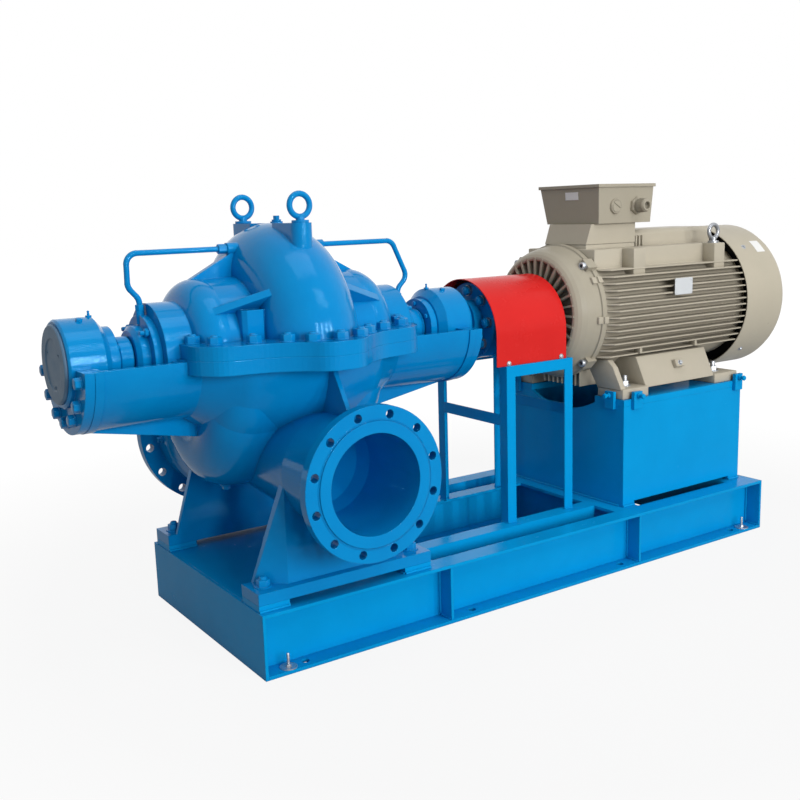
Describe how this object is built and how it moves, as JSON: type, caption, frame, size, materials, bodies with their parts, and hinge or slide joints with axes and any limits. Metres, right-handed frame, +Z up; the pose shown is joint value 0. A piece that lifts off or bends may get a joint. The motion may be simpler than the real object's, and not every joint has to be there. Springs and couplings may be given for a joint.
{
  "type": "split case pump set",
  "caption": "Horizontal split case double suction pump coupled to a finned electric motor on one welded channel baseplate, with flanged side nozzles and a coupling guard.",
  "frame": {"origin": "centre of the baseplate underside, at the middle of the four outer anchor holes", "axes": "+X along the shaft from the pump towards the motor, +Y from the discharge side to the suction side, +Z up"},
  "size_m": [2.955, 1.15, 1.403],
  "materials": {
    "blue_paint": "gloss enamel",
    "grey_paint": "satin enamel",
    "red_paint": "gloss enamel",
    "bare_steel": "machined",
    "fan_plastic": "matte"
  },
  "bodies": {
    "pump_set": {"base_front_channel": "blue_paint", "base_rear_channel": "blue_paint", "base_end_plates": "blue_paint", "base_deck_plate": "blue_paint", "base_inner_beams": "blue_paint", "base_cross_beams": "blue_paint", "base_stiffeners": "blue_paint", "pump_foot_pads": "blue_paint", "lower_casing": "blue_paint", "upper_casing": "blue_paint", "bearing_housing_left": "blue_paint", "bearing_housing_right": "blue_paint", "bearing_end_cover_left": "bare_steel", "bearing_end_cover_right": "blue_paint", "bearing_inner_covers": "blue_paint", "seal_glands": "blue_paint", "flush_pipe_left": "blue_paint", "flush_pipe_right": "blue_paint", "pump_lifting_eyes": "blue_paint", "vent_plug": "blue_paint", "guard_hood": "red_paint", "guard_stand_front": "blue_paint", "guard_stand_rear": "blue_paint", "guard_cross_bars": "blue_paint", "pedestal_side_plates": "blue_paint", "pedestal_end_plates": "blue_paint", "pedestal_top_rails": "blue_paint", "motor_jacking_lugs": "blue_paint", "motor_frame": "grey_paint", "motor_drive_shield": "grey_paint", "motor_rear_shield": "grey_paint", "motor_fan_cowl": "grey_paint", "terminal_neck": "grey_paint", "terminal_box": "grey_paint", "terminal_lid": "grey_paint", "cable_gland": "grey_paint", "blanking_plug": "grey_paint", "motor_lifting_eyes": "bare_steel"},
    "rotor": {"pump_shaft": "blue_paint", "coupling_pump_half": "blue_paint", "coupling_motor_half": "blue_paint", "coupling_pins": "bare_steel", "motor_shaft": "bare_steel", "motor_fan": "fan_plastic"}
  },
  "joints": [
    {"name": "rotor_spin", "type": "hinge", "parent": "pump_set", "child": "rotor", "pos_m": [0, 0, 0.925], "axis": [1, 0, 0], "continuous": true}
  ]
}
